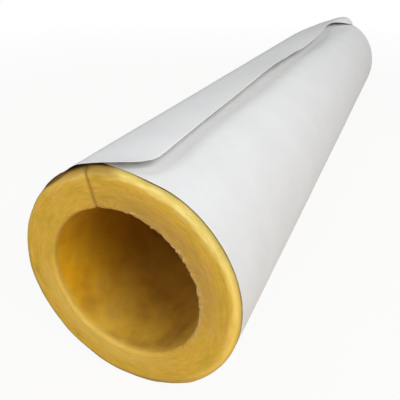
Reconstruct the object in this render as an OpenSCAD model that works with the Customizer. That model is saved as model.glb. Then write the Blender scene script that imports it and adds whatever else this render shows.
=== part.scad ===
// Fiberglass pipe insulation: a moulded glass-wool tube with one lengthwise slit,
// in a paper-faced jacket whose lap stands open along the slit.
// The tube lies along Y with its middle at the origin, near end towards -Y, top towards +Z. Millimetres.

/* [Fiberglass wall] */
// Length of the section, end to end
length = 914.4; // [450:0.1:1220]
// Bore, for a pipe of 5 1/8 inch (130 mm)
bore_d = 131; // [60:0.5:220]
// Thickness of the moulded wall
wall = 31.25; // [20:0.25:60]
// Rounding of the wall's rubbed outer end edges
outer_edge_r = 7; // [2:0.1:9]
// Rounding of the wall's inner end edges
inner_edge_r = 3; // [0.5:0.1:5]

/* [Slit] */
// Width of the lengthwise cut that lets the wall open over a pipe
slit_w = 1.2; // [0.6:0.1:4]
// Place of the cut round the tube, turned from +X over +Z
slit_angle = 105; // [75:0.5:120]

/* [Jacket] */
// Thickness of the laminate
jacket_t = 0.4; // [0.3:0.05:1]
// Set-back of the jacket's edges from the ends of the wall
set_back = 5; // [0:0.5:8]
// Arc before the slit over which the jacket has come off the wall
loose_w = 26; // [20:1:45]
// Stand-off of the jacket over the slit at the near end
slit_lift = 3; // [2:0.1:7]
// Stand-off of the jacket over the slit at the far end
slit_lift_far = 1.6; // [1.2:0.1:7]

/* [Lap] */
// Width of the lap past the slit
lap_w = 45; // [38:1:60]
// Mean stand-off of the lap's free edge
lap_lift = 11; // [10:0.1:16]
// Rise and fall of the free edge along the tube
wave_h = 4; // [0:0.1:4]
// Waves along the tube's length
waves = 1.9; // [1:0.1:3]
// Lean of the waves, which rise slowly and fall quickly, in degrees
wave_lean = 31; // [0:1:35]
// Forward reach of the trimmed lap past the rest of the jacket's near edge
lap_lead = 5; // [0:0.5:5]
// Rounding of the lap's near corner
corner_r = 24; // [8:1:28]
// Extra stand-off of the lap's near corner, which curls up
corner_curl = 4.3; // [0:0.1:6]
// Length over which the curl dies away
curl_long = 7; // [4:0.5:20]
// Amount by which the lap runs narrower at the far end
far_taper = 15; // [0:1:18]
// Share of the length over which it narrows
taper_share = 0.37; // [0.2:0.01:0.5]
// Share of its stand-off that the free edge loses again at the far end
far_drop = 0.8; // [0:0.05:0.85]
// Length before the far end where it starts to come down
drop_long = 206; // [150:1:260]

/* [Curled tab] */
// Reach of the tab past the narrowed lap, at the far end
tab_reach = 38; // [20:1:45]
// Length over which the lap swings out into the tab
tab_long = 77; // [50:1:120]
// Height of the tab's hump
tab_h = 7.7; // [4:0.1:12]
// Lean of the hump towards the tab's free edge
tab_lean = 2.1; // [1:0.1:3]
// Stand-off of the tab's free edge
tab_gap = 1; // [0.8:0.1:3]

/* [Hidden] */
bore_r = bore_d / 2;
outer_r = bore_r + wall;
jacket_len = length - 2 * set_back;
// Angle taken by one millimetre of arc on the wall's outside
deg = 180 / (PI * outer_r);
slit_half = asin(slit_w / 2 / outer_r);
// Inset that keeps a sheet inside the jacket where the two are one
inset = 0.05;
// Arc by which a sheet runs on inside the jacket
root = 4;
// Length over which the lap's forward reach dies away
lead_long = 60;
wall_steps = 6;
sheet_cols = 34;
corner_rows = 10;
middle_rows = 36;
tab_rows = 14;
sheet_rows = corner_rows + middle_rows + tab_rows;
$fn = 96;

function smooth(t) = let (u = min(max(t, 0), 1)) u * u * (3 - 2 * u);

// A point at an angle round the tube, a radius and a place along it
function on_tube(angle, r, y) = [r * cos(angle), y, r * sin(angle)];

// Quarter-round corner of the wall's profile
function corner(cx, cy, r, from) =
    [for (i = [0:wall_steps]) let (turn = from + 90 * i / wall_steps)
        [cx + r * cos(turn), cy + r * sin(turn)]];

function wall_profile() = concat(
    corner(outer_r - outer_edge_r, length - outer_edge_r, outer_edge_r, 0),
    corner(bore_r + inner_edge_r, length - inner_edge_r, inner_edge_r, 90),
    corner(bore_r + inner_edge_r, inner_edge_r, inner_edge_r, 180),
    corner(outer_r - outer_edge_r, outer_edge_r, outer_edge_r, 270));

// Places of the loose sheet's rows along the jacket, closer together at the near corner and at the tab
function row_y(j) = let (middle = j - corner_rows, tab = middle - middle_rows)
    middle <= 0 ? inset + corner_r * (1 - cos(90 * j / corner_rows))
    : tab <= 0 ? inset + corner_r + (jacket_len - tab_long - corner_r - 2 * inset) * middle / middle_rows
    : jacket_len - tab_long - inset + tab_long * tab / tab_rows;

// Share of the tab in the lap's shape there
function tab_share(y) = smooth((y - jacket_len + tab_long) / tab_long);

// Width of the lap at a place along the jacket
function lap_at(y) = let (
    round_off = y < corner_r ? corner_r - sqrt(max(0, corner_r * corner_r - pow(corner_r - y, 2))) : 0,
    along = (y - jacket_len * (1 - taper_share)) / (jacket_len * taper_share))
    lap_w - round_off - far_taper * smooth(along) + tab_reach * tab_share(y);

function lift_over_slit(y) = slit_lift + (slit_lift_far - slit_lift) * smooth(y / jacket_len);

function lift_of_edge(y) = let (
    turn = 360 * waves * y / jacket_len,
    drop = far_drop * smooth((y - jacket_len + drop_long) / (drop_long - 60)))
    (lap_lift - wave_h * cos(turn - wave_lean * (1 - cos(turn)))) * (1 - drop)
        + corner_curl * exp(-y / curl_long);

// Stand-off of the plain lap, s millimetres of arc past the slit
function lap_lift_at(s, y) = lift_over_slit(y)
    + (lift_of_edge(y) - lift_over_slit(y)) * pow(min(1, s / lap_w), 2);

// Stand-off of the curled tab, a share t of its width past the slit
function tab_lift_at(t, y) = lift_over_slit(y) * (1 - t) + tab_gap * t
    + tab_h * pow(max(0, sin(180 * pow(t, tab_lean))), 1.2);

// Stand-off of the loose sheet, s millimetres of arc past the line where it leaves the wall
function sheet_lift(s, y) = let (past = s - loose_w, t = min(1, past / lap_at(y)), k = tab_share(y))
    s <= 0 ? 0
    : past < 0 ? lift_over_slit(y) * smooth(s / loose_w)
    : lap_lift_at(past, y) * (1 - k) + tab_lift_at(t, y) * k;

// Amount by which the loose sheet comes forward there
function reach_forward(s, y) = lap_lead * smooth(s / loose_w) * max(0, 1 - y / lead_long);

function sheet_s(i, y) = -root + (root + loose_w + lap_at(y)) * i / sheet_cols;

function loose_grid(skin) = [for (j = [0:sheet_rows]) let (y = row_y(j))
    [for (i = [0:sheet_cols]) let (s = sheet_s(i, y))
        on_tube(slit_angle + (loose_w - s) * deg, outer_r + sheet_lift(s, y) + skin,
            y - reach_forward(s, y))]];

// Thin solid between two grids of points, the first one outermost
module sheet(outside, inside) {
    rows = len(outside);
    cols = len(outside[0]);
    n = rows * cols;
    skins = [for (j = [0:rows - 2], i = [0:cols - 2])
        let (a = j * cols + i, b = a + 1, c = a + cols, d = c + 1)
        each [[a, d, b], [a, c, d], [n + a, n + b, n + d], [n + a, n + d, n + c]]];
    ends = [for (i = [0:cols - 2], j = [0, rows - 1]) let (a = j * cols + i, b = a + 1)
        each j == 0 ? [[a, b, n + b], [a, n + b, n + a]] : [[a, n + b, b], [a, n + a, n + b]]];
    sides = [for (j = [0:rows - 2], i = [0, cols - 1]) let (a = j * cols + i, c = a + cols)
        each i == 0 ? [[a, n + c, c], [a, n + a, n + c]] : [[a, c, n + c], [a, n + c, n + a]]];
    polyhedron(points = concat([for (r = outside) each r], [for (r = inside) each r]),
        faces = concat(skins, ends, sides));
}

module fiberglass_wall() {
    color("#D0A63F")
    translate([0, -length / 2, 0])
    difference() {
        rotate([-90, 0, 0])
            rotate_extrude()
                polygon(wall_profile());
        rotate([0, -slit_angle, 0])
            translate([0, -1, -slit_w / 2])
                cube([outer_r + 1, length + 2, slit_w]);
    }
}

// The part of the jacket that is stuck to the wall, from the slit round to the loose arc
module bonded_jacket() {
    rotate([-90, 0, 0])
        rotate([0, 0, slit_half - slit_angle])
            rotate_extrude(angle = 360 - slit_half - loose_w * deg)
                translate([outer_r, 0])
                    square([jacket_t, jacket_len]);
}

module jacket() {
    color("#E8E8E6")
    translate([0, -jacket_len / 2, 0])
    union() {
        bonded_jacket();
        sheet(loose_grid(jacket_t - inset), loose_grid(inset));
    }
}

fiberglass_wall();
jacket();
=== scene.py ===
# %% [markdown]
# # A section of fiberglass pipe insulation
# The real object is a tube of glass wool, moulded round a mandrel and slit along one side, in a white
# jacket of laminated paper. The jacket's last few centimetres are a lap that is stuck down over the slit
# when the section is on its pipe. Here the lap is still open, and that loose edge is most of what the
# eye reads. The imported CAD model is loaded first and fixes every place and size.

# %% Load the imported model
import math
import random

import bpy
from mathutils import Matrix, Vector, noise


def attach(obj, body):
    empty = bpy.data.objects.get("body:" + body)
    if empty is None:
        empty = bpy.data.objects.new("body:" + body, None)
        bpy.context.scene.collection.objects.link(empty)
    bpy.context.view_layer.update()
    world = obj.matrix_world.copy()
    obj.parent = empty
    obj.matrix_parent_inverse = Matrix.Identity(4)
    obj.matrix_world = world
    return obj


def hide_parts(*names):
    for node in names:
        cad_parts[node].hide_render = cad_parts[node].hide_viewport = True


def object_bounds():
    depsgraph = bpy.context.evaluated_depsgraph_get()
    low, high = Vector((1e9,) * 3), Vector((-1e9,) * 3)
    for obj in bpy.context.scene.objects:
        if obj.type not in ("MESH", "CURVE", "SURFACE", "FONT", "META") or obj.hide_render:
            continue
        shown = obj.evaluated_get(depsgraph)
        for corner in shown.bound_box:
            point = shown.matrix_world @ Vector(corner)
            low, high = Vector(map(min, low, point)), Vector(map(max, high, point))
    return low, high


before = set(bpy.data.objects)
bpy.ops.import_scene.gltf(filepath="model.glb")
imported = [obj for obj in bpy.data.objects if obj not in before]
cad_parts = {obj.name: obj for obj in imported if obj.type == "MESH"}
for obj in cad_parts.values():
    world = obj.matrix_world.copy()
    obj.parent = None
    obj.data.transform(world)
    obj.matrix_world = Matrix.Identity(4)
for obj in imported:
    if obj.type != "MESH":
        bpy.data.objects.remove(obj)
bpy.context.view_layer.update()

# %% [markdown]
# ## Sizes
# A script can't ask the CAD source for its values, so the few that shape the pieces are repeated here in
# millimetres. The tube lies along Y with its middle at the origin. It is easier to think of a distance
# from the near end, so `place` takes an angle round the tube, a radius and that distance, and gives
# the point in metres. A soft tube is never quite round: this one stands a little taller than it is wide at
# its near end, by about a millimetre each way, and `place` adds that too.

# %% Sizes of the tube, in millimetres
LENGTH, BORE_R, OUTER_R = 914.4, 65.5, 96.75
SLIT = 105.0  # degrees round the tube, from the right over the top
OVAL, OVAL_LONG = 0.0137, 250.0


def fade(distance, over):
    """A share that starts at 1 and dies away over a length in mm."""
    return math.exp(-distance / over)


def place(angle, r, y):
    """A point in metres from degrees round the tube, a radius and a distance from the near end in mm."""
    a = math.radians(angle)
    oval = OVAL * fade(y, OVAL_LONG)
    return Vector((r * math.cos(a) * (1 - oval), y - LENGTH / 2, r * math.sin(a) * (1 + oval))) / 1000


print("wall", OUTER_R - BORE_R, "mm thick, near end", round(OVAL * OUTER_R, 1), "mm out of round")

# %% [markdown]
# ## Camera
# The picture was taken close to one end and from above, with a fairly wide lens, so the tube shrinks
# quickly towards its far end. A pinhole camera fitted to the outlines gives the eye's place, its
# direction and the lens. Setting the matrix straight from those numbers is surer than a Track To
# constraint, because the picture's centre is not on any part of the tube.

# %% Camera from the fitted eye, direction and lens
EYE = (0.16052, -0.68681, 0.22585)
AZIMUTH, ELEVATION = math.radians(25.6949), math.radians(27.9875)
SENSOR, FOCAL_PIXELS, PICTURE_PIXELS = 36.0, 453.813, 400
SHIFT = (0.05, -0.01)  # the picture's middle is not the lens's

level = math.cos(ELEVATION)
back = Vector((math.sin(AZIMUTH) * level, -math.cos(AZIMUTH) * level, math.sin(ELEVATION)))
right = Vector((0, 0, 1)).cross(back).normalized()
facing = Matrix((right, back.cross(right), back)).transposed().to_4x4()
lens = bpy.data.cameras.new("camera")
lens.sensor_width = SENSOR
lens.lens = SENSOR * FOCAL_PIXELS / PICTURE_PIXELS
lens.shift_x, lens.shift_y = SHIFT
lens.clip_start = 0.01
camera = bpy.data.objects.new("camera", lens)
camera.matrix_world = Matrix.Translation(EYE) @ facing
bpy.context.scene.collection.objects.link(camera)
bpy.context.scene.camera = camera
print("lens", round(lens.lens, 2), "mm")

# %% [markdown]
# ## The wool's outline
# Glass wool is cut, not machined: its end is a little domed at the rim where it has been rubbed, and its
# bore keeps the smooth skin of the mandrel. A modifier could round a plain tube, but it could not tell
# the cut end from the moulded bore. So the wall is drawn as one closed outline of radius and distance,
# each point with the direction it faces, and the outline is then carried round the tube. Its points are
# closest together at the near end, where the eye is.

# %% Outline of the wall, as radius, distance and the way it faces
EDGE_OUT, EDGE_IN = 7.0, 3.0
FACE_STEPS, SIDE_STEPS, FAR_FACE_STEPS, BORE_STEPS = 28, 36, 18, 72
BORE_CROWDING = 1.6


def arc(r, y, radius, start, steps):
    """A quarter round of the outline, without its last point, where the next stretch begins."""
    return [(r + radius * math.cos(a), y + radius * math.sin(a), math.cos(a), math.sin(a))
            for a in (math.radians(start + 90 * i / steps) for i in range(steps))]


def wall_outline():
    """The whole outline, from the bore's near edge out over the end, along the side and back by the bore."""
    inner, outer = BORE_R + EDGE_IN, OUTER_R - EDGE_OUT
    side, bore = LENGTH - 2 * EDGE_OUT, LENGTH - 2 * EDGE_IN
    outline = arc(inner, EDGE_IN, EDGE_IN, 180, 8)
    outline += [(inner + (outer - inner) * i / FACE_STEPS, 0.0, 0.0, -1.0) for i in range(FACE_STEPS)]
    outline += arc(outer, EDGE_OUT, EDGE_OUT, 270, 14)
    outline += [(OUTER_R, EDGE_OUT + side * i / SIDE_STEPS, 1.0, 0.0) for i in range(SIDE_STEPS)]
    outline += arc(outer, LENGTH - EDGE_OUT, EDGE_OUT, 0, 8)
    outline += [(outer - (outer - inner) * i / FAR_FACE_STEPS, LENGTH, 0.0, 1.0)
                for i in range(FAR_FACE_STEPS)]
    outline += arc(inner, LENGTH - EDGE_IN, EDGE_IN, 90, 6)
    outline += [(BORE_R, EDGE_IN + bore * ((BORE_STEPS - i) / BORE_STEPS) ** BORE_CROWDING, -1.0, 0.0)
                for i in range(BORE_STEPS)]
    return outline


OUTLINE = wall_outline()
print("outline points", len(OUTLINE))

# %% [markdown]
# ## How the wall has settled
# A soft tube that has been stacked and carried keeps the marks of it. To the left of the slit, wool and
# jacket have dropped at the near end, and the wool's bare end has pulled down further, which leaves a
# narrow gap of torn fibre under the jacket's edge. Under the lap's free edge the wall has settled into a
# valley, deepest towards the far end, where the wall by the slit sags as well. Round most of the near end
# the bare wool has swollen past the jacket. Sculpting could give all this, but a dent that is a function
# of angle and distance can be measured, and the jacket can follow the same function.

# %% Dents and swellings of the wall
def smooth(t):
    """An even step from 0 to 1 that starts and ends level."""
    t = min(max(t, 0.0), 1.0)
    return t * t * (3 - 2 * t)


def step(at, start, length):
    """The same step, spread over a length from its start."""
    return smooth((at - start) / length)


def hill(at, centre, width):
    """A soft rise from 0 to 1 and back, centred on one place."""
    return math.exp(-((at - centre) / width) ** 2)


def bump(angle, centre, width):
    """The same rise, centred on one angle round the tube."""
    return hill((angle - centre + 180) % 360 - 180, 0, width)


def sunk_side(angle, y):
    """Drop in mm of wool and jacket to the left of the slit, at the near end."""
    return 2.2 * bump(angle, centre=SLIT + 43, width=15) * fade(y, over=40)


def sunk_wool(angle, y):
    """Further drop in mm of the wool's bare end, which opens a narrow gap under the jacket."""
    return 2.4 * bump(angle, centre=SLIT + 20, width=9) * (1 - step(y, start=4.6, length=1.8))


def valley(angle, y):
    """Depth in mm of the valley under the lap's free edge, which almost closes at the far end."""
    near = 1.4 * hill(y, centre=50, width=40)
    all_along = 1.6 + 1.4 * step(y, start=0, length=60) + near
    far = 5.5 * step(y, start=350, length=300)
    depth = all_along * bump(angle, centre=76, width=11) + far * bump(angle, centre=83, width=14)
    return depth * (1 - 0.75 * step(y, start=830, length=75))


def far_sag(angle, y):
    """Depth in mm to which the wall by the slit has sagged towards the far end."""
    return 6.7 * bump(angle, centre=110, width=22) * step(y, start=728, length=181)


def swollen_rim(angle, r, y):
    """Height in mm by which the bare end has swollen past the jacket's edge, most of all underneath."""
    underneath = 1.9 * bump(angle, centre=300, width=34)
    lower_left = 0.5 * bump(angle, centre=250, width=20)
    by_slit = 1.7 * bump(angle, centre=94, width=16)
    swell = (0.9 + underneath + lower_left) * (1 - bump(angle, centre=100, width=38)) + by_slit
    return swell * step(-y, start=-5.2, length=0.7) * step(r, start=82, length=10)


print("valley", [round(max(valley(a, y) for a in range(60, 100)), 1) for y in (0, 50, 300, 700, 900)], "mm")

# %% [markdown]
# ## The wool's surface
# Soft lumps a couple of centimetres across break up the smooth form, and so do fine ridges that run round
# the tube, because the fibres were laid in layers. The mouth of the bore is torn, most of all on the right,
# its skin is crumpled into low folds, and a short crack runs beside the slit. All of it is a shift of each
# point along the way it faces. The noise functions of mathutils give the same value in every run, so the
# piece never changes. What each coordinate is divided by is the pattern's size that way, in millimetres.

# %% Lumps, layers, tears and folds
TORN_AT = 22  # degrees round the tube
CRACK_R, CRACK_LEAN, CRACK_W = 82, 0.12, 0.8
FOLD_SHARPNESS = 2.6


def around(angle, spacing, r=80.0):
    """Two coordinates that run round the tube without a seam, one unit for each spacing in mm at radius r."""
    a = math.radians(angle)
    return r / spacing * math.cos(a), r / spacing * math.sin(a)


def fold(angle, y, spacing, length, seed):
    """Height of sharp-backed folds, from 0 to 1, of a size in mm round the tube and along it."""
    c, s = around(angle, spacing)
    return max(0.0, 1 - FOLD_SHARPNESS * abs(noise.noise(Vector((c, s, y / length + seed)))))


def wool_shift(angle, r, y, facing_end):
    """How far a point of the wool stands out of the plain outline, in mm."""
    c, s = around(angle, spacing=26)
    lumps = 0.6 * noise.noise(Vector((c, s, r / 24 + y / 26)))
    c, s = around(angle, spacing=11)
    ridges = 0.22 * noise.noise(Vector((c, r / 2.2, s + y / 40)))
    c, s = around(angle, spacing=2.6)
    fuzz = 0.12 * noise.noise(Vector((c, r / 1.3 + y / 3, s)))
    from_bore = max(0.0, r - BORE_R)
    by_mouth = fade(y, over=5) * fade(from_bore, over=4.5)
    c, s = around(angle, spacing=4.2)
    ragged = noise.noise(Vector((c, s, r / 4 + 7)))
    ragged += 0.5 * noise.noise(Vector((2.3 * c, 2.3 * s, r / 2 + 3)))
    torn = by_mouth * (0.4 + 1.6 * smooth(math.cos(math.radians(angle - TORN_AT)))) * ragged
    crack = 0.8 * hill(r - CRACK_R, centre=CRACK_LEAN * (angle - SLIT), width=CRACK_W)
    crack *= bump(angle, centre=SLIT + 8, width=6)
    folds = fold(angle, y, spacing=30, length=30, seed=5)
    folds += 0.5 * fold(angle, y, spacing=14, length=16, seed=9)
    crumpled = 0.8 * folds * fade(from_bore, over=2) * step(y, start=0, length=20)
    if not facing_end:
        lumps, crack = 0.6 * lumps, 0.0
    return lumps + ridges + fuzz + torn - crack + crumpled


heights = [wool_shift(angle, 80.0, 0.0, True) for angle in range(360)]
print("cut end uneven by", round(max(heights) - min(heights), 2), "mm")

# %% [markdown]
# ## The wall
# The outline now goes once round, from one lip of the slit to the other, with its steps closest together at
# the slit. The slit was cut with a knife, so its line wanders, and its lips have crumbled into a small
# groove. Under the jacket the wool is pressed smooth, so there the shift fades to a small, even gap. The
# two flat lips close the mesh.

# %% Wall of glass wool
WALL_STEPS, SLIT_CROWDING = 430, 0.8
LIP_GAP, PRESSED_GAP, GROOVE = 0.2, 0.3, 1.1
SUNK_SHARE = 0.6  # the wool drops less than the jacket beside the slit


def mesh_object(name, points, faces):
    """A smooth-shaded mesh piece that rides on the tube."""
    mesh = bpy.data.meshes.new(name)
    mesh.from_pydata(points, [], faces)
    mesh.validate()
    mesh.polygons.foreach_set("use_smooth", [True] * len(mesh.polygons))
    piece = bpy.data.objects.new(name, mesh)
    bpy.context.scene.collection.objects.link(piece)
    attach(piece, "root")
    print(name, len(mesh.vertices), "points", sum(len(p.vertices) - 2 for p in mesh.polygons), "triangles")
    return piece


def wander(r, y, lip):
    """How far in mm the cut strays from its plane, a little differently on its two lips."""
    stray = 1.1 * noise.noise(Vector((r / 6, y / 30, 3.0))) + 0.9 * noise.noise(Vector((r / 2.0, y / 8, 5.0)))
    return stray + 0.3 * noise.noise(Vector((r / 1.5, y / 4, lip)))


def wall_points():
    """The outline at every step round the tube, with its surface, dents and swellings."""
    points = []
    for k in range(WALL_STEPS + 1):
        u = k / WALL_STEPS
        u -= SLIT_CROWDING * math.sin(2 * math.pi * u) / (2 * math.pi)
        for r, y, facing_r, facing_y in OUTLINE:
            lip = math.degrees(LIP_GAP / 2 / r)
            angle = SLIT + lip + (360 - 2 * lip) * u
            away = min(u, 1 - u) * 2 * math.pi * r
            angle += math.degrees(wander(r, y, round(u)) * fade(away, over=9) / r)
            shift = wool_shift(angle, r, y, abs(facing_y) > 0.5) - GROOVE * fade(away, over=2.4)
            off_ends = step(y, start=3, length=3) * step(LENGTH - y, start=3, length=3)
            under_jacket = off_ends * max(0.0, facing_r)
            shift += (-PRESSED_GAP - shift) * under_jacket
            outer_share = (r - BORE_R) / (OUTER_R - BORE_R)
            r += swollen_rim(angle, r, y)
            sunk = SUNK_SHARE * sunk_side(angle, y) + sunk_wool(angle, y)
            r -= outer_share * (sunk + valley(angle, y) + far_sag(angle, y))
            points.append(place(angle, r + facing_r * shift, y + facing_y * shift))
    return points


loop = len(OUTLINE)
faces = [(k * loop + i, k * loop + (i + 1) % loop, (k + 1) * loop + (i + 1) % loop, (k + 1) * loop + i)
         for k in range(WALL_STEPS) for i in range(loop)]
faces += [tuple(range(loop - 1, -1, -1)), tuple(WALL_STEPS * loop + i for i in range(loop))]
wool = mesh_object("wool_wall", wall_points(), faces)
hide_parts("fiberglass_wall")

# %% [markdown]
# ## Loose fibres
# A cut end of glass wool is never clean: tufts stand out of it, most of all where the knife tore the skin
# of the bore. Hair particles would give them too, but a few hundred bent strands in one mesh keep their
# place exactly and travel with the model. Each strand is a three-sided thread, far thicker than a real
# fibre, because a real one of 0.01 mm could never show.

# %% Tufts of fibre on the cut end
STRAND_RINGS, TIP_THINNING = 5, 0.8
MOUTH_THREAD, FACE_THREAD = 0.00022, 0.00011  # radius in metres
MOUTH_SPREAD = 40  # degrees
TUFT_COUNT, TUFT_SEED = 420, 11


def strand(start, along, up, length, bend, radius):
    """Points and faces of one bent thread, thinner towards its tip and closed at both ends."""
    rings, quads = [], []
    side = along.cross(up).normalized()
    last = STRAND_RINGS - 1
    for j in range(STRAND_RINGS):
        t = j / last
        centre = start + along * (length * t) + up * (length * bend * t * t)
        thin = radius * (1 - TIP_THINNING * t)
        for corner in range(3):
            a = 2 * math.pi * corner / 3
            rings.append(centre + side * (thin * math.cos(a)) + up * (thin * math.sin(a)))
    for j in range(last):
        for corner in range(3):
            nxt = (corner + 1) % 3
            quads.append((3 * j + nxt, 3 * j + corner, 3 * j + 3 + corner, 3 * j + 3 + nxt))
    return rings, quads + [(0, 1, 2), (3 * last + 2, 3 * last + 1, 3 * last)]


def tufts(count, seed):
    """Points and faces of all the threads: three in five at the bore's mouth, the rest over the cut end."""
    pick = random.Random(seed)
    points, faces = [], []
    front = Vector((0, -1, 0))
    for n in range(count):
        mouth = n % 5 < 3
        angle = pick.gauss(TORN_AT, MOUTH_SPREAD) if mouth else pick.uniform(0, 360)
        r = BORE_R + (pick.uniform(1.5, 4.5) if mouth else pick.uniform(4, 24))
        a = math.radians(angle)
        outward = Vector((math.cos(a), 0, math.sin(a)))
        tangent = Vector((-math.sin(a), 0, math.cos(a))) * pick.choice((-1, 1))
        forward = pick.uniform(0.05, 0.3)
        inward = pick.uniform(0, 0.35) if mouth else 0.05
        along = (tangent + front * forward - outward * inward).normalized()
        length, bend = pick.uniform(0.003, 0.007), pick.uniform(-0.35, 0.1)
        thread = MOUTH_THREAD if mouth else FACE_THREAD
        rings, quads = strand(place(angle, r, 0.4), along, front, length, bend, thread)
        faces += [tuple(len(points) + i for i in q) for q in quads]
        points += rings
    return points, faces


fibres = mesh_object("wool_fibres", *tufts(TUFT_COUNT, TUFT_SEED))

# %% [markdown]
# ## The jacket and its lap
# The jacket is one sheet. From the slit it goes right round the wool, stuck to it, and a little before
# it comes back to the slit it lifts off and goes on over it as the lap. Laminated paper is stiff: the
# lap leaves the tube in a flat sweep, its near corner is rounded and curls up a little, and its edge rises
# and falls in long waves. At the far end it comes down, runs narrower and then swings out into a tab, which
# humps up over the jacket like a low awning. A cloth simulation would need pins along every glued line. A
# height over the tube as a function of two lengths, round it and along it, says the same thing directly.

# %% Sizes of the jacket, its lap and the tab, in millimetres
JACKET_T, SET_BACK, SLIT_W = 0.4, 5.0, 1.2
JACKET_LEN = LENGTH - 2 * SET_BACK
DEG = 180 / (math.pi * OUTER_R)  # degrees for each mm of arc
LOOSE_W, LAP_W, CORNER_R = 26.0, 45.0, 24.0
FAR_TAPER, TAPER_SHARE = 14.8, 0.37
SLIT_LIFT, SLIT_LIFT_FAR = 2.4, 1.6
LAP_LIFT, WAVE_H, WAVES, WAVE_LEAN = 11.0, 4.0, 1.9, math.radians(31)
CORNER_CURL, CURL_LONG = 4.3, 7.0
MIDDLE_RISE, RISE_AT, RISE_LONG = 3.0, 425, 45
FAR_DROP, DROP_START, DROP_LONG = 0.8, 206, 146
TAB_LONG, TAB_REACH, TAB_H, TAB_LEAN, TAB_GAP = 77.0, 38.0, 7.7, 2.1, 1.0
HUMP_SHARPNESS = 1.2
LEAD_LONG = 60.0
SPRUNG_H, SPRUNG_LONG = 2.4, 45
SPRUNG_FROM, SPRUNG_ARC = 90, 8  # degrees
print("jacket", JACKET_LEN, "mm long, lap", round(LAP_W * DEG, 1), "degrees wide")

# %% [markdown]
# The lap's width and its height over the wool come next. The plain lap and the tab have a height each, and
# the sheet goes smoothly from one to the other. The lap was trimmed longer than the rest of the jacket, so
# it comes forward almost to the wool's end and shades the wool under it. There the glued edge beside the
# slit has sprung up to meet it.

# %% Width, height and reach of the loose sheet
def tab_share(y):
    """Share of the far tab in the lap's shape, y mm from the jacket's near edge."""
    return smooth((y - JACKET_LEN + TAB_LONG) / TAB_LONG)


def lap_width(y):
    """Width in mm of the lap past the slit: rounded at its near corner, narrower far off, then the tab."""
    rounded = CORNER_R - math.sqrt(max(0.0, CORNER_R ** 2 - (CORNER_R - y) ** 2)) if y < CORNER_R else 0.0
    along = (y - JACKET_LEN * (1 - TAPER_SHARE)) / (JACKET_LEN * TAPER_SHARE)
    wider = 2 * hill(y, centre=0, width=70)
    return LAP_W + wider - rounded - FAR_TAPER * smooth(along) + TAB_REACH * tab_share(y)


def edge_lift(y):
    """Height in mm of the plain lap's free edge."""
    turn = 2 * math.pi * WAVES * y / JACKET_LEN
    edge = LAP_LIFT - WAVE_H * math.cos(turn - WAVE_LEAN * (1 - math.cos(turn)))
    edge *= 1 - FAR_DROP * smooth((y - JACKET_LEN + DROP_START) / DROP_LONG)
    middle = MIDDLE_RISE * hill(y, RISE_AT, RISE_LONG)
    return edge + (middle + CORNER_CURL * fade(y, CURL_LONG))


def lift(s, y):
    """Height in mm of the sheet, s mm past the line where it leaves the wool."""
    if s <= 0:
        return 0.0
    over_slit = SLIT_LIFT + (SLIT_LIFT_FAR - SLIT_LIFT) * smooth(y / JACKET_LEN) + fade(y, over=60)
    if s < LOOSE_W:
        return over_slit * smooth(s / LOOSE_W)
    plain = over_slit + (edge_lift(y) - over_slit) * min(1.0, (s - LOOSE_W) / LAP_W) ** 2
    across = min(1.0, (s - LOOSE_W) / lap_width(y))
    hump = TAB_H * max(0.0, math.sin(math.pi * across ** TAB_LEAN)) ** HUMP_SHARPNESS
    tab = over_slit + (TAB_GAP - over_slit) * across + hump
    return plain + (tab - plain) * tab_share(y)


def reach_forward(s, y):
    """How far in mm the trimmed lap comes forward of the jacket's near edge."""
    return SET_BACK * smooth(s / LOOSE_W) * max(0.0, 1 - y / LEAD_LONG)


def sprung_edge(angle, y):
    """Height in mm by which the glued edge beside the slit has sprung up to meet the lap, at the near end."""
    if not 0 < angle <= SLIT:
        return 0.0
    return SPRUNG_H * step(angle, SPRUNG_FROM, SPRUNG_ARC) * fade(y, SPRUNG_LONG)


print("free edge", [round(edge_lift(y), 1) for y in range(0, 900, 150)], "mm over the wool")

# %% [markdown]
# The sheet is a grid of points, made twice: once for its outside and once for its inside, 0.4 mm lower.
# Rows run round the tube and are closer together at the rounded corner and at the tab. Between the two grids
# only the four edges need closing. A little unevenness keeps the glued part from looking like turned plastic.

# %% Grid of the jacket and the closed sheet between two grids
CORNER_ROWS, MIDDLE_ROWS, TAB_ROWS = 14, 96, 32
STUCK_COLS, LOOSE_COLS = 180, 70
DENT, TRIM = 0.16, 0.35  # unevenness of the surface and of the cut near edge, in mm


def closed_sheet(outside, inside):
    """Points, faces and the number of outer faces of a thin solid between two equal grids."""
    rows, cols = len(outside), len(outside[0])
    n = rows * cols
    points = [p for row in outside for p in row] + [p for row in inside for p in row]
    outer = [(j * cols + i, j * cols + i + 1, (j + 1) * cols + i + 1, (j + 1) * cols + i)
             for j in range(rows - 1) for i in range(cols - 1)]
    faces = outer + [tuple(n + v for v in reversed(f)) for f in outer]
    rim = list(range(cols)) + [j * cols + cols - 1 for j in range(1, rows)]
    rim += [(rows - 1) * cols + i for i in range(cols - 2, -1, -1)]
    rim += [j * cols for j in range(rows - 2, 0, -1)]
    faces += [(a, a + n, b + n, b) for a, b in zip(rim, rim[1:] + rim[:1])]
    return points, faces, len(outer)


def jacket_rows():
    """Distances in mm of the rows from the jacket's near edge."""
    near = [CORNER_R * (1 - math.cos(math.pi / 2 * i / CORNER_ROWS)) for i in range(CORNER_ROWS)]
    plain = JACKET_LEN - (TAB_LONG + CORNER_R)
    middle = [CORNER_R + plain * i / MIDDLE_ROWS for i in range(MIDDLE_ROWS)]
    return near + middle + [JACKET_LEN - TAB_LONG + TAB_LONG * i / TAB_ROWS for i in range(TAB_ROWS + 1)]


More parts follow.
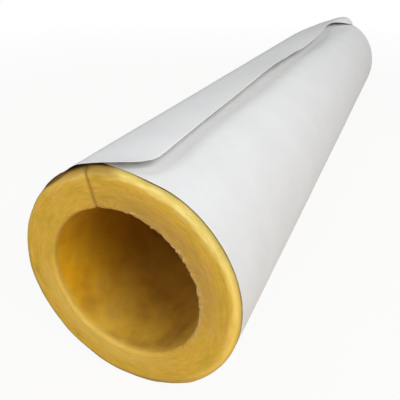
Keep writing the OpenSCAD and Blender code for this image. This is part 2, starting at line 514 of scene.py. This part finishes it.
def jacket_grid(skin):
    """Rows of points of the sheet, at a height in mm over its inside."""
    stuck = 2 * math.pi * OUTER_R - LOOSE_W - SLIT_W / 2
    grid = []
    for y in jacket_rows():
        loose = LOOSE_W + lap_width(y)
        row = []
        for i in range(STUCK_COLS + LOOSE_COLS + 1):
            s = stuck * i / STUCK_COLS if i <= STUCK_COLS else stuck + loose * (i - STUCK_COLS) / LOOSE_COLS
            angle = SLIT - (s + SLIT_W / 2) * DEG
            c, d = around(angle, spacing=48, r=OUTER_R)
            dents = DENT + DENT * noise.noise(Vector((c, d, y / 75)))
            trim = TRIM * noise.noise(Vector((s / 14, 4.0, 2.0))) * fade(y, over=6)
            height = lift(s - stuck, y) if s > stuck else sprung_edge(angle, y) - valley(angle, y)
            height -= far_sag(angle, SET_BACK + y) + sunk_side(angle, SET_BACK + y)
            along = SET_BACK + y + abs(trim) - reach_forward(s - stuck, y)
            row.append(place(angle, OUTER_R + dents + height + skin, along))
        grid.append(row)
    return grid


points, faces, outer_count = closed_sheet(jacket_grid(JACKET_T), jacket_grid(0.0))
jacket = mesh_object("paper_jacket", points, faces)
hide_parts("jacket")

# %% [markdown]
# ## Finishes
# Every finish is built from nodes. `add` makes one node, sets its values and links its inputs, so a
# material reads as a list of its steps. Colours are written as they look on a screen and turned to the
# linear values that Blender works in. Patterns are scaled from their real size in millimetres.

# %% Colour and node helpers
def linear(hex_colour):
    """Linear red, green, blue and alpha of a colour as it looks on a screen."""
    channels = [int(hex_colour[i:i + 2], 16) / 255 for i in (1, 3, 5)]
    return tuple(c / 12.92 if c <= 0.04045 else ((c + 0.055) / 1.055) ** 2.4 for c in channels) + (1.0,)


def add(tree, kind, inputs=None, ramp=None, **settings):
    """Adds a node. An input is a value, a hex colour or the output that feeds it; a ramp lists its stops."""
    node = tree.nodes.new(kind)
    for name, value in settings.items():
        setattr(node, name, value)
    for name, value in (inputs or {}).items():
        if isinstance(value, bpy.types.NodeSocket):
            tree.links.new(value, node.inputs[name])
        else:
            node.inputs[name].default_value = linear(value) if isinstance(value, str) else value
    if ramp:
        stops = node.color_ramp.elements
        while len(stops) < len(ramp):
            stops.new(0.5)
        for stop, (position, colour) in zip(stops, ramp):
            stop.position, stop.color = position, linear(colour)
    return node


def new_material(name):
    """A material with an empty node tree, and the tree."""
    material = bpy.data.materials.new(name)
    material.use_nodes = True
    material.node_tree.nodes.clear()
    return material, material.node_tree


print("mid grey on a screen is", round(linear("#808080")[0], 3), "in linear light")

# %% [markdown]
# ## Resin-bonded glass wool
# Glass wool for pipes is spun fibre, sprayed with a yellow phenolic resin and cured in a mould. All its
# changes of colour lie round the tube or along it, so the material first works out a true radius and the
# direction from the axis. Painting on an unwrapped image would do as well, but these two values need no
# seam and hold at any size.

# %% Material: resin-bonded glass wool, its radius and direction
HALF = LENGTH / 2000  # metres from the middle to either end
wool_material, tree = new_material("resin_bonded_glass_wool")
coords = add(tree, "ShaderNodeTexCoord").outputs["Object"]
xyz = add(tree, "ShaderNodeSeparateXYZ", {0: coords}).outputs
# the near end is oval, so a true radius needs x and z put right first
oval = add(tree, "ShaderNodeMapRange", {"Value": xyz["Y"], "From Min": -HALF, "From Max": 0.0,
                                        "To Min": OVAL, "To Max": 0.0}).outputs[0]
round_x = add(tree, "ShaderNodeMath", {0: xyz["X"], 1: oval, 2: xyz["X"]},
              operation="MULTIPLY_ADD").outputs[0]
squeeze_z = add(tree, "ShaderNodeMath", {0: xyz["Z"], 1: oval}, operation="MULTIPLY").outputs[0]
round_z = add(tree, "ShaderNodeMath", {0: xyz["Z"], 1: squeeze_z}, operation="SUBTRACT").outputs[0]
flat = add(tree, "ShaderNodeCombineXYZ", {"X": round_x, "Z": round_z}).outputs[0]
radius = add(tree, "ShaderNodeVectorMath", {0: flat}, operation="LENGTH").outputs["Value"]
turn = add(tree, "ShaderNodeVectorMath", {0: flat}, operation="NORMALIZE").outputs[0]
print("material", wool_material.name, "begun with", len(tree.nodes), "nodes")

# %% [markdown]
# Cut across, the wool shows its layers as fine streaks that run round the tube, about 2 mm wide and several
# times as long, from straw to amber. Over them lie wider drifts where the resin was sprayed more or less
# thickly, from olive straw to tan. Both are one kind of noise, drawn out round the tube.

# %% Streaks of the layers and drifts of resin
LAYERS_AT = 80.0  # radius in mm at which a streak has its full length
DRIFT_SHARE = 0.55


def layers(long, deep, along):
    """Noise drawn out round the tube: its lengths in mm round it, across the layers and along the tube."""
    round_tube = add(tree, "ShaderNodeVectorMath", {0: turn, "Scale": LAYERS_AT / long}, operation="SCALE")
    outward = add(tree, "ShaderNodeMath", {0: radius, 1: 1000 / deep}, operation="MULTIPLY").outputs[0]
    outward = add(tree, "ShaderNodeCombineXYZ", {"Y": outward}).outputs[0]
    at = add(tree, "ShaderNodeVectorMath", {0: round_tube.outputs[0], 1: outward}, operation="ADD").outputs[0]
    lengthwise = add(tree, "ShaderNodeMath", {0: xyz["Y"], 1: 1000 / along}, operation="MULTIPLY").outputs[0]
    return add(tree, "ShaderNodeTexNoise", {"Vector": at, "W": lengthwise, "Scale": 1.0, "Detail": 3.0,
                                            "Roughness": 0.55}, noise_dimensions="4D").outputs["Fac"]


streaks = layers(long=9, deep=2.0, along=10)
drifts = layers(long=20, deep=8, along=20)
streak_colour = add(tree, "ShaderNodeValToRGB", {"Fac": streaks}, ramp=[
    (0.28, "#B48A2C"), (0.42, "#C9A037"), (0.60, "#D4AC41"), (0.74, "#E2C25E")]).outputs["Color"]
drift_colour = add(tree, "ShaderNodeValToRGB", {"Fac": drifts}, ramp=[
    (0.30, "#B6932E"), (0.43, "#CAA63A"), (0.55, "#D4A640"), (0.70, "#D3A454")]).outputs["Color"]
wool_colour = add(tree, "ShaderNodeMix", {0: DRIFT_SHARE, 6: streak_colour, 7: drift_colour},
                  data_type="RGBA").outputs[2]
print("streaks and drifts bring it to", len(tree.nodes), "nodes")

# %% [markdown]
# Stains, wear and painted light and shade sit on one side of the end or the other, and between two radii.
# `towards` gives a share that grows with the turn towards one angle, and the helper below lays a colour over
# the wool by that share. The inner part of the cut is painted a duller, darker tan at the upper right, as
# painted shade, and paler at the lower left, as painted light where its inner edge faces the lamps. Dark
# crumbs about 2 mm long lie all over it.

# %% Painted shade and light on the sides of the cut, and crumbs
MM = 0.001
SMOOTH = {"interpolation_type": "SMOOTHSTEP"}


def towards(angle, start, full, most, least=0.0):
    """A share from least to most, between two cosines of the angle that is left to go."""
    way = (math.cos(math.radians(angle)), 0.0, math.sin(math.radians(angle)))
    cosine = add(tree, "ShaderNodeVectorMath", {0: turn, 1: way}, operation="DOT_PRODUCT").outputs["Value"]
    return add(tree, "ShaderNodeMapRange", {"Value": cosine, "From Min": start, "From Max": full,
                                            "To Min": least, "To Max": most}, **SMOOTH).outputs[0]


# used both for real stains and for painted light and shade on the wool
def stain_or_painted_light(under, colour, share, none, full, at=radius, edge="SMOOTHSTEP"):
    """Lays a colour over the one under it, by a share that fades between two radii in mm, none and full."""
    ends = (0.0, share) if none < full else (share, 0.0)
    amount = add(tree, "ShaderNodeMapRange", {
        "Value": at, "From Min": min(none, full) * MM, "From Max": max(none, full) * MM,
        "To Min": ends[0], "To Max": ends[1]}, interpolation_type=edge).outputs[0]
    return add(tree, "ShaderNodeMix", {0: amount, 6: under, 7: colour}, data_type="RGBA").outputs[2]


# painted shade: the upper right of the inner cut is a darker tan
wool_colour = stain_or_painted_light(wool_colour, "#AB8646", towards(45, 0.2, 1.0, 0.7), none=89.0, full=72.0)
# painted light: the lower left of the inner cut is paler where it faces the lamps
wool_colour = stain_or_painted_light(wool_colour, "#E0C062", towards(240, 0.2, 0.95, 0.5), none=88.0, full=71.0)
crumbs = add(tree, "ShaderNodeTexNoise", {"Vector": coords, "Scale": 1000 / 2.4,
                                          "Detail": 2.0}).outputs["Fac"]
crumb_amount = add(tree, "ShaderNodeMapRange", {"Value": crumbs, "From Min": 0.66, "From Max": 0.76,
                                                "To Min": 0.0, "To Max": 0.3}).outputs[0]
wool_colour = add(tree, "ShaderNodeMix", {0: crumb_amount, 6: wool_colour, 7: "#96691E"},
                  data_type="RGBA").outputs[2]
print("sides and crumbs bring it to", len(tree.nodes), "nodes")

# %% [markdown]
# The rim is rubbed a little pale all round, where broken fibre ends are worn, and over that it carries a
# painted highlight, strongest on the upper right, where the lamps light its rounded shoulder, and warmer
# towards the lower right. Its boundary wanders with the drifts. At the bore's mouth the torn edge is paler
# on the right, where the moulded skin has come away.

# %% Rubbed rim with a painted highlight, and torn mouth
rim_colour = add(tree, "ShaderNodeValToRGB", {"Fac": streaks},
                 ramp=[(0.3, "#DCC468"), (0.7, "#F0E08E")]).outputs["Color"]
rim_colour = add(tree, "ShaderNodeMix", {0: towards(-20, 0.5, 0.95, 0.75), 6: rim_colour, 7: "#FAD062"},
                 data_type="RGBA").outputs[2]
rim_radius = add(tree, "ShaderNodeMath", {0: drifts, 1: 10 * MM, 2: radius},
                 operation="MULTIPLY_ADD").outputs[0]
# painted highlight: the rim's paleness is strongest towards the upper right, where the lamps fall; a little
# of it is rubbed wear all round
rubbed_and_highlight = towards(40, -0.35, 0.7, 0.85, least=0.1)
wool_colour = stain_or_painted_light(wool_colour, rim_colour, rubbed_and_highlight, none=93.0, full=100.0, at=rim_radius)
torn_radius = add(tree, "ShaderNodeMath", {0: drifts, 1: 8 * MM, 2: radius},
                  operation="MULTIPLY_ADD").outputs[0]
torn = towards(25, 0.45, 0.9, 0.75)
wool_colour = stain_or_painted_light(wool_colour, "#D2B072", torn, none=74.5, full=70.0, at=torn_radius)
print("rim and mouth bring it to", len(tree.nodes), "nodes")

# %% [markdown]
# The wool's rim beside the slit is painted brown as the painted shadow of the lap over it, and the groove of
# the slit is painted brown as painted shade in its crease. Where the rim turns down towards the jacket's edge
# it is painted darker, as painted shade, most of all underneath on the left. In the gap to the left of the
# slit, painted shade makes the wool darkest.

# %% Painted shade under the lap, in the slit, at the jacket's edge and in the gap
# painted shadow: the lap's shadow on the wool's rim beside the slit, laid on as brown
painted_lap_shadow = towards(SLIT, 0.945, 0.980, 0.7)
wool_colour = stain_or_painted_light(wool_colour, "#9C6C28", painted_lap_shadow, none=90.5, full=94.5, edge="LINEAR")
across_way = (math.sin(math.radians(SLIT)), 0.0, -math.cos(math.radians(SLIT)))
from_slit = add(tree, "ShaderNodeVectorMath", {0: flat, 1: across_way},
                operation="DOT_PRODUCT").outputs["Value"]
from_slit = add(tree, "ShaderNodeMath", {0: from_slit}, operation="ABSOLUTE").outputs[0]
# painted shade: the slit's crease is darkened brown within 2.6 mm of its line
groove = towards(SLIT, 0.0, 0.3, 0.55)
wool_colour = stain_or_painted_light(wool_colour, "#86622A", groove, none=2.6, full=0.4, at=from_slit)
# painted shade: the rim darkens where it turns down under the jacket's edge
crevice = add(tree, "ShaderNodeMapRange", {
    "Value": xyz["Y"], "From Min": 1.2 * MM - HALF, "From Max": 5.0 * MM - HALF,
    "To Min": 0.0, "To Max": 0.75}).outputs[0]
wool_colour = stain_or_painted_light(wool_colour, "#86742E", crevice, none=90.0, full=93.0, edge="LINEAR")
# painted shade: the outer rim is darker underneath on the lower left
wool_colour = stain_or_painted_light(wool_colour, "#7E6E40", towards(240, 0.1, 0.8, 0.62), none=89.5, full=94.5)
# painted shade: the narrow gap under the jacket to the left of the slit is painted dark brown
gap = add(tree, "ShaderNodeMapRange", {
    "Value": xyz["Y"], "From Min": 2.2 * MM - HALF, "From Max": 4.0 * MM - HALF,
    "To Min": 0.0, "To Max": towards(SLIT + 20, 0.93, 0.975, 0.85)}).outputs[0]
wool_colour = stain_or_painted_light(wool_colour, "#7A5526", gap, none=88.0, full=90.0, edge="LINEAR")
print("the painted shades bring it to", len(tree.nodes), "nodes")

# %% [markdown]
# The moulded bore holds more resin, which gathers on the mandrel: it is amber in patches about 25 mm across
# and dustier along its floor. From the mouth inwards it is painted darker, as painted shade of the deep bore.
# Its mouth is rubbed down to plain wool.

# %% Amber bore
BORE_STOPS = (0.30, 0.46, 0.58, 0.72)
AMBER = ("#D29606", "#DFA40A", "#E9B210", "#DEB028")
DUSTY = ("#AC8530", "#C89E34", "#D4AC38", "#C2A050")
patches = add(tree, "ShaderNodeTexNoise", {"Vector": coords, "Scale": 1000 / 24, "Detail": 3.0,
                                           "Roughness": 0.5}).outputs["Fac"]
amber, dusty = (
    add(tree, "ShaderNodeValToRGB", {"Fac": patches}, ramp=list(zip(BORE_STOPS, colours))).outputs["Color"]
    for colours in (AMBER, DUSTY))
bore_colour = add(tree, "ShaderNodeMix", {0: towards(290, -0.1, 0.8, 1.0), 6: amber, 7: dusty},
                  data_type="RGBA").outputs[2]
from_middle = add(tree, "ShaderNodeMath", {0: xyz["Y"]}, operation="ABSOLUTE").outputs[0]
# painted shade: the bore grows darker over the first 90 mm in from each end
painted_depth_shade = add(tree, "ShaderNodeMapRange", {"Value": from_middle, "From Min": HALF - 90 * MM,
                                               "From Max": HALF, "To Min": 0.6, "To Max": 0.0}).outputs[0]
bore_colour = add(tree, "ShaderNodeMix", {0: painted_depth_shade, 6: bore_colour, 7: "#AC6E04"},
                  data_type="RGBA").outputs[2]
inside = add(tree, "ShaderNodeMapRange", {"Value": from_middle, "From Min": HALF - 8 * MM,
                                          "From Max": HALF - 1.5 * MM, "To Min": 0.92, "To Max": 0.0},
             **SMOOTH).outputs[0]
wool_colour = stain_or_painted_light(wool_colour, bore_colour, inside, none=70.0, full=66.5)
print("the bore brings it to", len(tree.nodes), "nodes")

# %% [markdown]
# Fuzz takes no highlight, so roughness is near 1 and a weak sheen stands in for light caught in the fibre
# ends. The felted relief has two scales: the streaks, and single fibres drawn 0.8 mm wide so that they show.

# %% Relief and shader of the wool
fibre_relief = add(tree, "ShaderNodeTexNoise", {"Vector": coords, "Scale": 1000 / 0.8,
                                                "Detail": 3.0}).outputs["Fac"]
relief = add(tree, "ShaderNodeBump", {"Height": streaks, "Strength": 0.3, "Distance": 1.0 * MM}).outputs[0]
relief = add(tree, "ShaderNodeBump", {"Height": fibre_relief, "Strength": 0.3, "Distance": 0.4 * MM,
                                      "Normal": relief}).outputs[0]
shader = add(tree, "ShaderNodeBsdfPrincipled", {
    "Base Color": wool_colour, "Roughness": 0.95, "IOR": 1.5, "Specular IOR Level": 0.1,
    "Sheen Weight": 0.04, "Sheen Roughness": 0.6, "Sheen Tint": "#FFF1C0", "Normal": relief}).outputs[0]
add(tree, "ShaderNodeOutputMaterial", {"Surface": shader})
wool.data.materials.append(wool_material)
print("material", wool_material.name, len(tree.nodes), "nodes")

# %% [markdown]
# The tufts are the same glass, but a single fibre carries little resin, so it is paler. One straw colour
# with slow changes from place to place is enough at this size. The back of the jacket needs the same kind
# of finish later, so `mottled` makes a dull material with one soft pattern.

# %% Material: bare glass fibre
def mottled(name, patch, detail, ramp, roughness, ior):
    """A dull material whose shade changes in soft patches of a size in mm."""
    material, tree = new_material(name)
    coords = add(tree, "ShaderNodeTexCoord").outputs["Object"]
    shade = add(tree, "ShaderNodeTexNoise", {"Vector": coords, "Scale": 1000 / patch, "Detail": detail})
    colour = add(tree, "ShaderNodeValToRGB", {"Fac": shade.outputs["Fac"]}, ramp=ramp).outputs["Color"]
    shader = add(tree, "ShaderNodeBsdfPrincipled", {"Base Color": colour, "Roughness": roughness, "IOR": ior})
    add(tree, "ShaderNodeOutputMaterial", {"Surface": shader.outputs[0]})
    print("material", material.name, "in patches of", patch, "mm")
    return material


fibres.data.materials.append(mottled("bare_glass_fibre", patch=12, detail=2.0, roughness=0.7, ior=1.52,
                                     ramp=[(0.35, "#CCA85A"), (0.65, "#E2C88A")]))

# %% [markdown]
# ## Bleached kraft paper laminate
# The jacket is bleached kraft paper, glued with a glass scrim to a metal foil, and only the paper shows. It
# is almost white and nearly matte, with the clouds of all paper and a fine grain of pulp. The clouds are
# about 45 mm across, and they change its colour, its gloss and its relief together.

# %% Material: bleached kraft paper, calendered
paper_material, tree = new_material("bleached_kraft_paper")
coords = add(tree, "ShaderNodeTexCoord").outputs["Object"]
clouds = add(tree, "ShaderNodeTexNoise", {"Vector": coords, "Scale": 1000 / 45, "Detail": 4.0,
                                          "Roughness": 0.6}).outputs["Fac"]
paper_colour = add(tree, "ShaderNodeValToRGB", {"Fac": clouds},
                   ramp=[(0.3, "#E1E2E3"), (0.7, "#E7E8E9")]).outputs["Color"]
pulp = add(tree, "ShaderNodeTexNoise", {"Vector": coords, "Scale": 1000 / 1.2, "Detail": 4.0}).outputs["Fac"]
pulp_amount = add(tree, "ShaderNodeMapRange", {"Value": pulp, "From Min": 0.35, "From Max": 0.75,
                                               "To Min": 0.0, "To Max": 0.08}).outputs[0]
paper_colour = add(tree, "ShaderNodeMix", {0: pulp_amount, 6: paper_colour, 7: "#C9C8C4"},
                   data_type="RGBA").outputs[2]
paper_gloss = add(tree, "ShaderNodeMapRange", {"Value": clouds, "From Min": 0.3, "From Max": 0.7,
                                               "To Min": 0.62, "To Max": 0.74}).outputs[0]
relief = add(tree, "ShaderNodeBump", {"Height": clouds, "Strength": 0.25, "Distance": 1.5 * MM}).outputs[0]
relief = add(tree, "ShaderNodeBump", {"Height": pulp, "Strength": 0.12, "Distance": 0.2 * MM,
                                      "Normal": relief}).outputs[0]
shader = add(tree, "ShaderNodeBsdfPrincipled", {
    "Base Color": paper_colour, "Roughness": paper_gloss, "IOR": 1.45, "Specular IOR Level": 0.25,
    "Normal": relief}).outputs[0]
add(tree, "ShaderNodeOutputMaterial", {"Surface": shader})
print("material", paper_material.name, len(tree.nodes), "nodes")

# %% [markdown]
# The laminate's back is duller and a little brown, and shows only under the open lap. Where it was stuck to
# the wool, it keeps a skin of torn fibre in the glue. The cut near edge beside the slit and down the right
# gets the same brown, partly as glue stain and partly as painted shade of the crevice between jacket and
# wool, a dull brown line beside the white. Faces are told apart by their place in the grid: the outside comes
# first, then the inside, then the rim, which starts along the near edge.

# %% Materials: back of the laminate, and glue with torn fibre, which also paints the shade line at the edge
PAPER, BACK, GLUE_AND_SHADE = range(3)
# near-edge columns painted brown, partly glue stain and partly painted shade of the crevice by the wool
GLUE_AND_SHADE_EDGE = [range(0, 62), range(173, 180)]  # columns of the near edge
LAP_COLUMN = 207  # first column of the open lap

back_material = mottled("laminate_back_paper", patch=14, detail=4.0, roughness=0.75, ior=1.45,
                        ramp=[(0.3, "#C6C5BC"), (0.7, "#D2D1C9")])
glue_and_shade_material = mottled("glue_fibre_and_painted_edge_shade", patch=3, detail=4.0, roughness=0.85, ior=1.5,
                        ramp=[(0.35, "#7E5F30"), (0.65, "#A98748")])
for material in (paper_material, back_material, glue_and_shade_material):
    jacket.data.materials.append(material)
for polygon in jacket.data.polygons:
    if polygon.index >= 2 * outer_count:
        column = polygon.index - 2 * outer_count
        polygon.material_index = GLUE_AND_SHADE if any(column in part for part in GLUE_AND_SHADE_EDGE) else PAPER
    elif polygon.index >= outer_count:
        column = polygon.index % (STUCK_COLS + LOOSE_COLS)
        polygon.material_index = BACK if column >= LAP_COLUMN else GLUE_AND_SHADE
counts = [sum(p.material_index == i for p in jacket.data.polygons) for i in (PAPER, BACK, GLUE_AND_SHADE)]
print("faces of paper, back and glue", counts)

# %% [markdown]
# ## Floor
# A product picture like this is made on white paper. The floor is a plain pale sheet that takes the tube's
# shadow. For rays that come straight from the camera, or by way of a mirror or a clear piece, it is
# brightened towards white. That leaves the shadow on it and adds no light to the tube. A brighter lamp would
# whiten the floor too, but it would bleach the tube with it.

# %% Studio floor
FLOOR_HALF = 6.0


def seen_directly(tree):
    """1 for a ray that shows the background to the viewer, 0 for one that only brings its light."""
    seen = add(tree, "ShaderNodeLightPath").outputs
    direct = seen["Is Camera Ray"]
    for ray in ("Is Glossy Ray", "Is Transmission Ray"):
        direct = add(tree, "ShaderNodeMath", {0: direct, 1: seen[ray]}, operation="MAXIMUM").outputs[0]
    return direct


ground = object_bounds()[0][2]
corners = [(x * FLOOR_HALF, y * FLOOR_HALF, ground) for x, y in ((-1, -1), (1, -1), (1, 1), (-1, 1))]
floor_mesh = bpy.data.meshes.new("floor")
floor_mesh.from_pydata(corners, [], [(0, 1, 2, 3)])
floor = bpy.data.objects.new("floor", floor_mesh)
bpy.context.scene.collection.objects.link(floor)
floor_material, tree = new_material("white_background_paper")
paper = add(tree, "ShaderNodeBsdfDiffuse", {"Color": "#CBBFB0"}).outputs[0]
white = add(tree, "ShaderNodeEmission", {"Color": "#FFFFFF", "Strength": 1.0}).outputs[0]
coords = add(tree, "ShaderNodeTexCoord").outputs["Object"]
distance = add(tree, "ShaderNodeVectorMath", {0: coords}, operation="LENGTH").outputs["Value"]
whiteness = add(tree, "ShaderNodeMapRange", {"Value": distance, "From Min": 0.7, "From Max": 2.0,
                                             "To Min": 0.93, "To Max": 1.0}).outputs[0]
amount = add(tree, "ShaderNodeMath", {0: seen_directly(tree), 1: whiteness}, operation="MULTIPLY").outputs[0]
mixed = add(tree, "ShaderNodeMixShader", {0: amount, 1: paper, 2: white}).outputs[0]
add(tree, "ShaderNodeOutputMaterial", {"Surface": mixed})
floor_mesh.materials.append(floor_material)
print("floor at", round(ground, 4), "m")

# %% [markdown]
# ## Light
# Five large soft disks do the work of a studio. The key lamp hangs to the right of the near end, so the tube
# is brightest on its upper right side. A top lamp on the left fills the lap, a front lamp lights the cut end
# and the mouth of the bore, and a weak one low on the right fills the rim. A far lamp on the right keeps the
# far end from falling dark. The sky is white to the viewer but adds only a little light.

# %% Lamps and sky
SKY_LIGHT = 0.1
LAMPS = {  # position, target and size in metres, power in watts
    "key_lamp": ((1.15, -1.0, 1.25), (0, -0.2, 0), 1.1, 20),
    "top_lamp": ((-0.55, -0.5, 1.6), (0, -0.2, 0), 1.0, 7.2),
    "front_lamp": ((-0.3, -1.9, 0.6), (0, -0.4, 0), 1.0, 9.5),
    "low_right_lamp": ((0.9, -1.7, 0.45), (0, -0.4, 0), 1.0, 2.5),
    "far_lamp": ((1.3, 0.75, 1.0), (0, 0.2, 0), 1.4, 6.5),
}
for name, (position, target, size, watts) in LAMPS.items():
    data = bpy.data.lights.new(name, "AREA")
    data.shape, data.size, data.energy = "DISK", size, watts
    lamp = bpy.data.objects.new(name, data)
    lamp.location = position
    lamp.rotation_euler = (Vector(position) - Vector(target)).to_track_quat("Z", "Y").to_euler()
    bpy.context.scene.collection.objects.link(lamp)

world = bpy.data.worlds.new("studio")
world.use_nodes = True
tree = world.node_tree
tree.nodes.clear()
strength = add(tree, "ShaderNodeMapRange", {"Value": seen_directly(tree), "To Min": SKY_LIGHT,
                                            "To Max": 1.0}).outputs[0]
sky = add(tree, "ShaderNodeBackground", {"Color": "#FFFFFF", "Strength": strength}).outputs[0]
add(tree, "ShaderNodeOutputWorld", {"Surface": sky})
bpy.context.scene.world = world
bpy.context.scene.view_settings.view_transform = "Standard"
